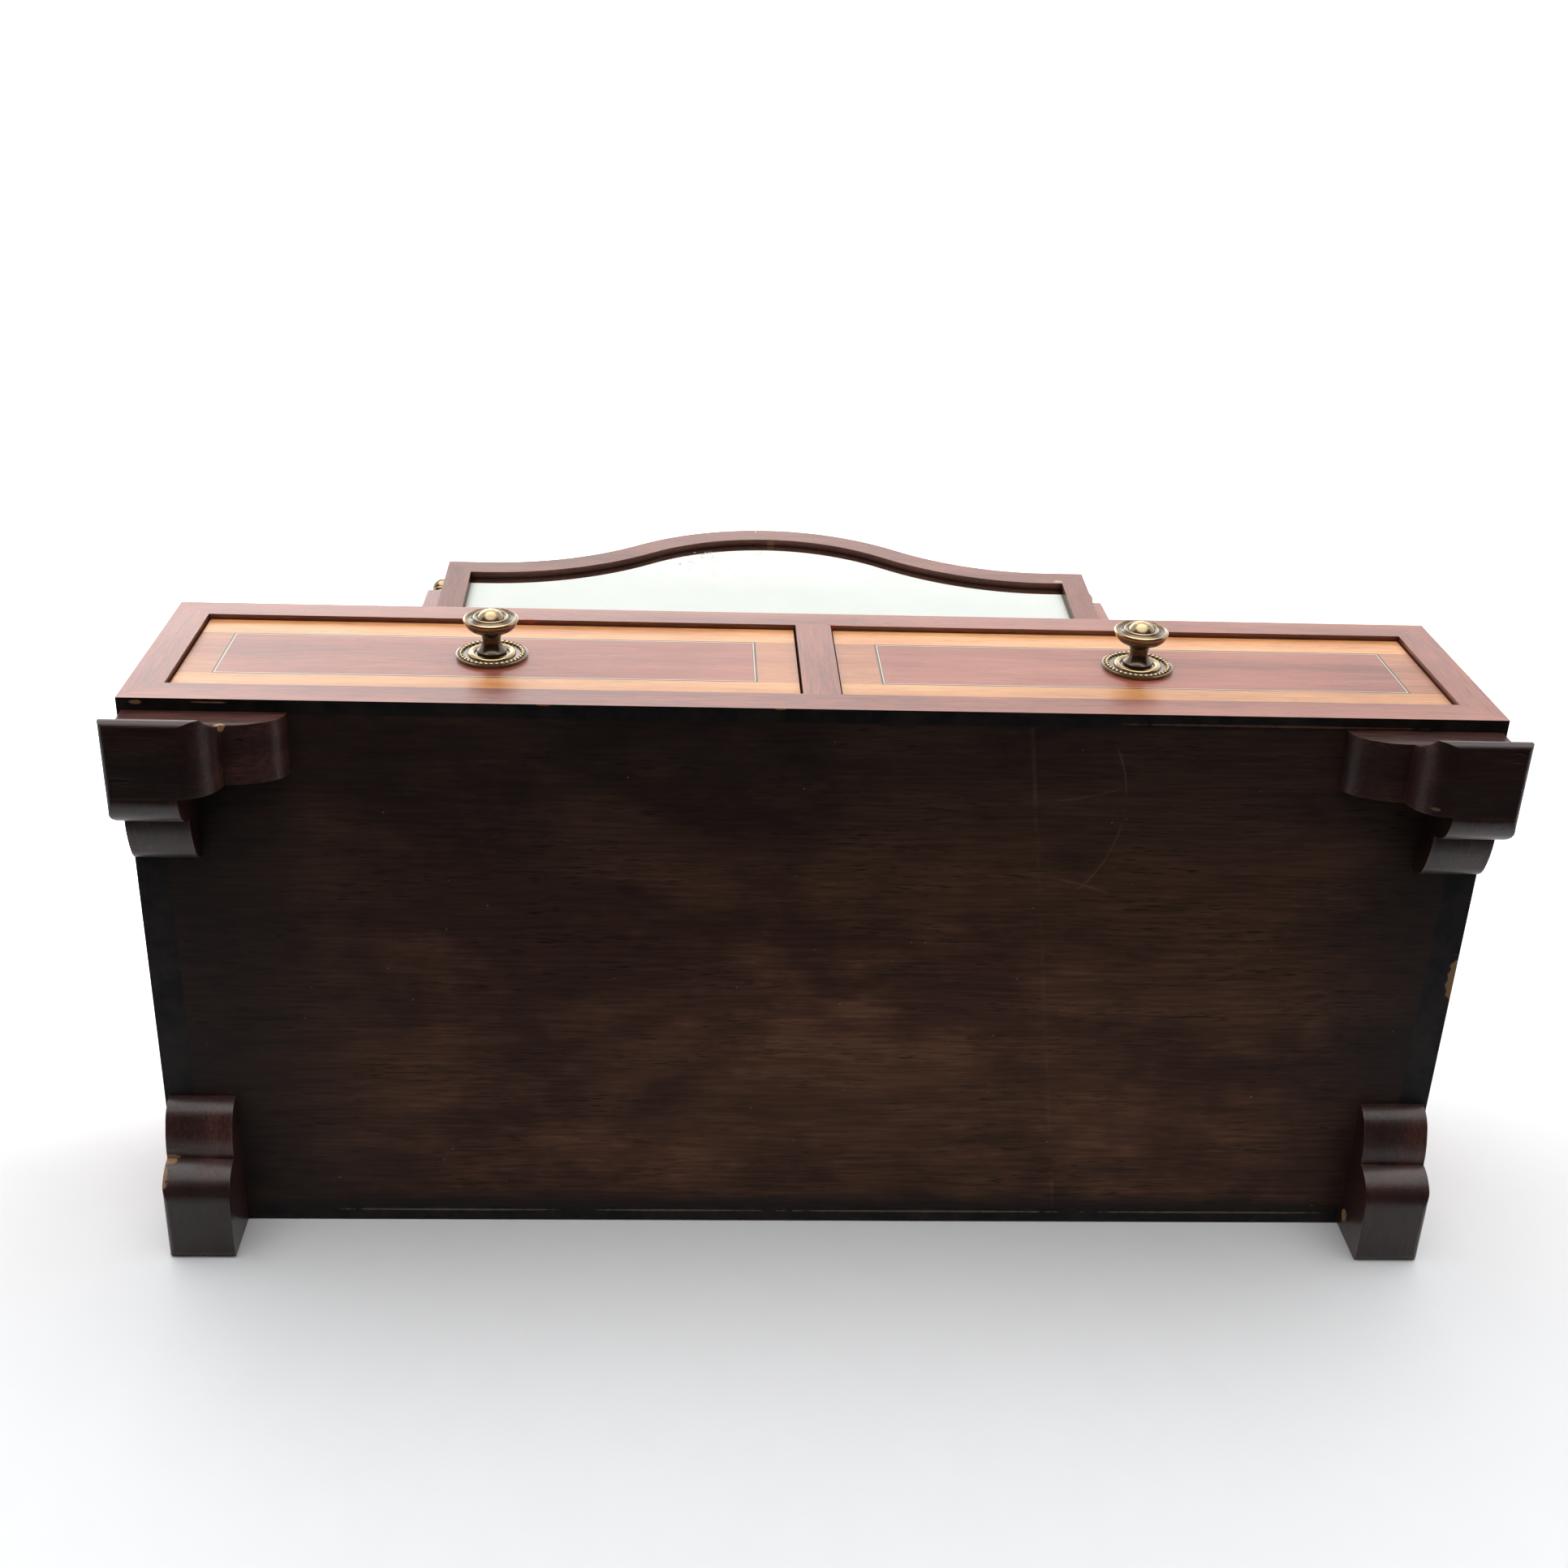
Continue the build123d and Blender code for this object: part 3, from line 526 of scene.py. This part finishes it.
def stringing_material(side):
    """A narrow light line inside a broader dark one, following the ring it is cut in."""
    material, g = new_material(f"stringing_{side}")
    low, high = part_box(f"drawer_{side}_stringing")
    middle = (low + high) / 2
    half = (high - low) / 2
    x, _, z = g.split(g.vector("SUBTRACT", g.place(), tuple(middle)))
    past_x = g.subtract(g.math("ABSOLUTE", x), half.x)
    past_z = g.subtract(g.math("ABSOLUTE", z), half.z)
    inward = g.multiply(g.highest(past_x, past_z), -1 / MM)
    line = g.remap(g.away_from(inward, LIGHT_LINE), 0.14, 0.22, 1.0, 0.0)
    waver = g.noise(g.place(), scale=60, detail=3)
    light = g.mix(waver, (0.46, 0.34, 0.23), (0.62, 0.49, 0.35))
    dark = g.mix(g.remap(waver, 0.35, 0.65), (0.020, 0.014, 0.012), (0.055, 0.034, 0.026))
    g.surface(
        {
            "Base Color": g.mix(line, dark, light),
            "Roughness": 0.34,
            "Coat Weight": 0.3,
            "Coat Roughness": 0.22,
        }
    )
    return material


for side in SIDES:
    paint([f"drawer_{side}_stringing"], stringing_material(side))


# ---------------------------------------------------------------- brass
BRASS_HIGH = (0.55, 0.395, 0.205)
# painted highlight colour for the middle of the knob's dome
BRASS_POLISH_AND_HIGHLIGHT = (0.65, 0.465, 0.205)
BRASS_LOW = (0.075, 0.046, 0.028)
BRASS_RELIEF = 0.1 * MM
RING_BLUR = 0.15  # half the soft edge of a bright ring, in millimetres
# bright rings, rubbed brass with painted highlights: from and to this far from the axis, in
# millimetres, and how bright
KNOB_RUB_AND_HIGHLIGHT_RINGS = ((-1.0, 2.4, 0.95), (2.4, 4.6, 0.45), (5.2, 6.1, 0.55), (8.4, 10.5, 0.7))
PLATE_RUB_AND_HIGHLIGHT_RINGS = ((5.9, 8.2, 0.9),)
PLATE_BEAD_RUB_AND_HIGHLIGHT = ((9.6, 11.3, 1.0),)


def brass_surface(g, bright, place, colour_high, polish):
    """Brass that is brown-black where bright is 0 and rubbed metal where it is 1."""
    patchy = g.noise(place, scale=300, detail=5, roughness=0.6)
    bright = g.multiply(bright, g.remap(patchy, 0.3, 0.55, 0.7, 1.0))
    g.surface(
        {
            "Base Color": g.mix(bright, BRASS_LOW, colour_high),
            "Metallic": g.remap(bright, 0.0, 0.5, 0.55, 1.0),
            "Roughness": g.remap(bright, 0.0, 1.0, 0.24, polish),
            "Normal": g.bump(g.noise(place, scale=1400, detail=3), 0.12, BRASS_RELIEF),
            "Coat Weight": 0.5,
            "Coat Roughness": 0.12,
        }
    )


def aged_brass(name, base):
    """Old brass in one tone, dark in its hollows and bright on its edges."""
    material, g = new_material(name)
    hollow = g.remap(g.openness(3 * MM, 8), 0.4, 0.95)
    edge = g.remap(g.sharpness(0.6 * MM), 0.02, 0.12)
    bright = g.multiply(hollow, g.math("ADD", edge, base, clamp=True))
    brass_surface(g, bright, g.place(), BRASS_HIGH, 0.22)
    return material


def rings(g, distance, bands):
    """Brightness by distance from an axis, for bands of (from, to, value)."""
    total = 0.0
    for start, end, value in bands:
        rise = g.remap(distance, start - RING_BLUR, start + RING_BLUR)
        fall = g.remap(distance, end - RING_BLUR, end + RING_BLUR, 1.0, 0.0)
        total = g.add(total, g.multiply(rise, fall, value))
    return total


def on_axis(g, place, name):
    """Distance from a turned piece's axis and depth behind its front, in millimetres."""
    low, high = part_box(name)
    middle = (low + high) / 2
    x, y, z = g.split(g.vector("SUBTRACT", place, (middle.x, low.y, middle.z)))
    distance = g.multiply(g.vector("LENGTH", g.join(x, 0.0, z)), 1 / MM)
    return distance, g.multiply(y, 1 / MM)


def knob_material(side):
    """Cast knob: rubbed dome, ring and lip, bright with painted highlights too, a painted
    highlight of yellower polish at the dome's middle, dark channel and neck.
    """
    material, g = new_material(f"knob_brass_{side}")
    place = g.place()
    distance, depth = on_axis(g, place, f"drawer_{side}_knob")
    # the rings of the front face are rubbed brass with painted highlights; the body behind it
    # stays dark
    rub_and_highlight = g.multiply(rings(g, distance, KNOB_RUB_AND_HIGHLIGHT_RINGS), g.remap(depth, 4.0, 4.6, 1.0, 0.0))
    hollow = g.remap(g.openness(2 * MM, 8), 0.35, 0.85, 0.3, 1.0)
    bright = g.multiply(g.highest(rub_and_highlight, 0.08), hollow)
    # painted highlight: yellower, brighter brass drawn at the dome's middle
    colour_high = g.mix(g.remap(distance, 2.6, 3.6), BRASS_POLISH_AND_HIGHLIGHT, BRASS_HIGH)
    brass_surface(g, bright, place, colour_high, 0.16)
    return material


def plate_material(side):
    """Backplate: raised ring and beads bright as rubbed brass with painted highlights, dark
    channels between them.
    """
    material, g = new_material(f"plate_brass_{side}")
    place = g.place()
    distance, depth = on_axis(g, place, f"drawer_{side}_backplate")
    # rubbed brass and painted highlights on the raised ring and beads
    ring = g.multiply(rings(g, distance, PLATE_RUB_AND_HIGHLIGHT_RINGS), g.remap(depth, 0.2, 0.7, 1.0, 0.25))
    beads = g.multiply(rings(g, distance, PLATE_BEAD_RUB_AND_HIGHLIGHT), g.remap(depth, 0.25, 0.8, 1.0, 0.08))
    brass_surface(g, g.highest(ring, beads, 0.2), place, BRASS_HIGH, 0.2)
    return material


brass = aged_brass("aged_brass", base=0.5)
dull_brass = aged_brass("dull_brass", base=0.12)
for side in SIDES:
    paint([f"drawer_{side}_knob"], knob_material(side))
    paint([f"drawer_{side}_backplate"], plate_material(side))
    paint([f"drawer_{side}_nut"], dull_brass)
    paint([f"finial_{side}", f"pivot_pin_{side}"], brass)
paint(["pivot_plates", "pivot_collars"], dull_brass)


# ---------------------------------------------------------------- mirror
FOXED_BELOW_CREST = 0.030
FOXED_RADII = (0.055, 1.0, 0.035)
# reach of the dull silvering and painted shade beside the frame
RIM_DULL_AND_SHADE_REACH = 18 * MM


def mirror_material():
    """Old silvering: greenish, grey round the edge (dull silvering and painted shade beside the
    frame), foxed with dark spots near the crest.
    """
    material, g = new_material("old_mirror")
    place = g.place()
    _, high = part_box("mirror_glass")
    haze = g.noise(place, scale=22, detail=6, roughness=0.65)
    spot = g.noise(g.stretch(place, (210, 210, 150)), detail=3, roughness=0.55)
    crest = g.in_radii(place, (-0.032, 0.03, high.z - FOXED_BELOW_CREST), FOXED_RADII)
    near_crest = g.remap(crest, 0.4, 1.2, 1.0, 0.0, smooth=True)
    spots = g.multiply(g.remap(spot, 0.54, 0.70, smooth=True), g.remap(haze, 0.46, 0.60))
    stray = g.multiply(g.remap(spot, 0.66, 0.72), g.remap(haze, 0.5, 0.6, 0.0, 0.7))
    foxing = g.highest(g.multiply(spots, near_crest), stray)
    # the silvering has gone dull beside the frame, and painted shade from the frame falls on the
    # glass there: darker where the frame hems the glass in
    rim = g.remap(g.openness(RIM_DULL_AND_SHADE_REACH, 8), 0.62, 0.97, 0.95, 0.0, smooth=True)
    tint = g.mix(g.remap(haze, 0.35, 0.65), (0.80, 0.85, 0.79), (0.86, 0.895, 0.83))
    colour = g.mix(foxing, tint, (0.46, 0.48, 0.44))
    g.surface(
        {
            "Base Color": g.mix(rim, colour, (0.17, 0.155, 0.10)),
            "Metallic": 1.0,
            "Roughness": g.add(0.03, g.multiply(foxing, 0.4)),
            "Coat Weight": 0.6,
            "Coat Roughness": 0.01,
        }
    )
    return material


paint(["mirror_glass"], mirror_material())


# ---------------------------------------------------------------- softened edges
def soften(names, width, segments=2):
    """Round the arrises of CAD pieces with a modifier."""
    for name in names:
        rounding = NODES[name].modifiers.new("soft_edges", "BEVEL")
        rounding.width = width
        rounding.segments = segments
        rounding.limit_method = "ANGLE"
        rounding.angle_limit = math.radians(50)
        rounding.use_clamp_overlap = True


soften([name for name in NODES if name.startswith("foot_")], 1.4 * MM, 4)
soften(["front_rail_top", "front_rail_bottom", "front_divider"], 0.35 * MM)
soften(["top_board", "back_board", "mirror_rail_top", "mirror_rail_bottom"], 0.35 * MM)
for side in SIDES:
    soften([f"front_stile_{side}", f"side_{side}", f"mirror_stile_{side}"], 0.35 * MM)


# ---------------------------------------------------------------- stage
FLOOR_HALF = 60.0
FLOOR_Z = -0.2 * MM
TABLE_Y = SIZE_BEFORE[1].y + 0.4 * MM  # just behind the object's back
TABLE_HALF = 2.5
TABLE_NEAR, TABLE_FAR = -0.155, 0.30  # the table's edges, in z
TABLE_FADE = (0.04, 0.28)  # it fades into the backdrop between these heights


def add_plane(name, corners, material):
    mesh = bpy.data.meshes.new(name)
    mesh.from_pydata(corners, [], [(0, 1, 2, 3)])
    mesh.materials.append(material)
    made = bpy.data.objects.new(name, mesh)
    scene.collection.objects.link(made)
    return made


def sheet_material(name, colour, when_below, fade=None):
    """Pale matt surface that is only there for one of the two kinds of view."""
    material, g = new_material(name)
    below = from_below(g)
    shown = below if when_below else g.subtract(1.0, below)
    if fade is not None:
        height_up = g.split(g.place())[2]
        shown = g.multiply(shown, g.remap(height_up, *fade, 1.0, 0.0, smooth=True))
    speck = g.noise(g.place(), scale=60, detail=4)
    tone = g.mix(g.remap(speck, 0.3, 0.7), darker(colour, 0.985), colour)
    matt = {"Base Color": tone, "Roughness": 0.55, "Specular IOR Level": 0.25}
    surface = g.node("ShaderNodeBsdfPrincipled", matt).outputs[0]
    clear = g.node("ShaderNodeBsdfTransparent").outputs[0]
    both = g.node("ShaderNodeMixShader", {0: shown, 1: clear, 2: surface})
    g.node("ShaderNodeOutputMaterial", {"Surface": both.outputs[0]})
    return material


add_plane(
    "floor",
    [
        (-FLOOR_HALF, -FLOOR_HALF, FLOOR_Z),
        (FLOOR_HALF, -FLOOR_HALF, FLOOR_Z),
        (FLOOR_HALF, FLOOR_HALF, FLOOR_Z),
        (-FLOOR_HALF, FLOOR_HALF, FLOOR_Z),
    ],
    sheet_material("pale_floor", (0.80, 0.80, 0.80), when_below=False),
)
table = add_plane(
    "table_under_back",
    [
        (-TABLE_HALF, TABLE_Y, TABLE_NEAR),
        (TABLE_HALF, TABLE_Y, TABLE_NEAR),
        (TABLE_HALF, TABLE_Y, TABLE_FAR),
        (-TABLE_HALF, TABLE_Y, TABLE_FAR),
    ],
    sheet_material("pale_table", (0.64, 0.645, 0.655), when_below=True, fade=TABLE_FADE),
)
# the table is clear in the standing views, and must not add painted shade to the object's
# hollows there
table.visible_shadow = False

# ---------------------------------------------------------------- light
# for the view of the underside: a softbox before the drawer fronts, a white sweep, and a glow
# that the drawer fronts reflect
SOFTBOX_DIRECTION = (0.0, -0.998, -0.06)
SOFTBOX_STRENGTH = 3.0
SWEEP_LOW, SWEEP_HIGH = 0.03, 1.10
GLOW_LEFT, GLOW_RIGHT = 2.2, 0.4
# for all other views: a soft studio, lighter overhead, and its backdrop as the camera and the
# polished surfaces see it
STUDIO_LOW, STUDIO_HIGH = 0.40, 0.74
BACKDROP_SEEN = 0.80
BACKDROP_MIRRORED = 0.70
LIGHT_AIM = Vector((0, 0, 0.2))

world = bpy.data.worlds.new("studio")
scene.world = world
g = Graph(world)
direction = g.node("ShaderNodeTexCoord").outputs["Generated"]
x, y, z = g.split(direction)
below = from_below(g)
facing = g.vector("DOT_PRODUCT", direction, SOFTBOX_DIRECTION)
softbox = g.remap(facing, 0.72, 0.90, 0.0, SOFTBOX_STRENGTH, smooth=True)
sweep = g.remap(z, -0.12, 0.15, SWEEP_LOW, SWEEP_HIGH, smooth=True)
glow = g.multiply(
    g.remap(y, -0.50, -0.38),
    g.remap(z, 0.6, 0.8),
    g.remap(x, -0.35, 0.30, GLOW_LEFT, GLOW_RIGHT),
)
lying = g.add(softbox, sweep, glow)
path = g.node("ShaderNodeLightPath").outputs
standing = g.highest(
    g.remap(z, -0.1, 1.0, STUDIO_LOW, STUDIO_HIGH),
    g.multiply(path["Is Camera Ray"], BACKDROP_SEEN),
    g.multiply(path["Is Glossy Ray"], BACKDROP_MIRRORED),
)
strength = g.add(g.multiply(lying, below), g.multiply(standing, g.subtract(1.0, below)))
background = g.node("ShaderNodeBackground", {"Color": (1.0, 1.0, 1.0), "Strength": strength})
g.node("ShaderNodeOutputWorld", {"Surface": background.outputs[0]})


def soft_light(name, spot, spread, strength):
    """A broad soft light for the standing views; it is off in the view from below."""
    data = bpy.data.lights.new(name, "SUN")
    data.angle = math.radians(spread)
    data.energy = strength
    g = Graph(data)
    glow = g.node("ShaderNodeEmission", {"Strength": g.subtract(1.0, from_below(g))})
    g.node("ShaderNodeOutputLight", {"Surface": glow.outputs[0]})
    lamp = bpy.data.objects.new(name, data)
    lamp.location = spot
    lamp.visible_glossy = False
    lamp.rotation_mode = "QUATERNION"
    lamp.rotation_quaternion = (LIGHT_AIM - Vector(spot)).to_track_quat("-Z", "Y")
    scene.collection.objects.link(lamp)


soft_light("key", (-1.3, -1.7, 1.9), spread=34, strength=1.5)
soft_light("fill", (1.9, 0.6, 1.3), spread=40, strength=0.6)

# ---------------------------------------------------------------- camera
EYE = Vector((-0.0430, -0.3412, -0.5446))
AHEAD = Vector((0.0489, 0.4337, 0.8997)).normalized()
IMAGE_UP = Vector((-0.0149, -0.9004, 0.4349))
camera_data = bpy.data.cameras.new("camera")
camera_data.sensor_width = 36.0
camera_data.lens = 44.14
camera_data.clip_start = 0.01
camera_data.clip_end = 50.0
camera = bpy.data.objects.new("camera", camera_data)
right = AHEAD.cross(IMAGE_UP).normalized()
up = right.cross(AHEAD)
turn = Matrix((right, up, -AHEAD)).transposed().to_4x4()
camera.matrix_world = Matrix.Translation(EYE) @ turn
scene.collection.objects.link(camera)
scene.camera = camera
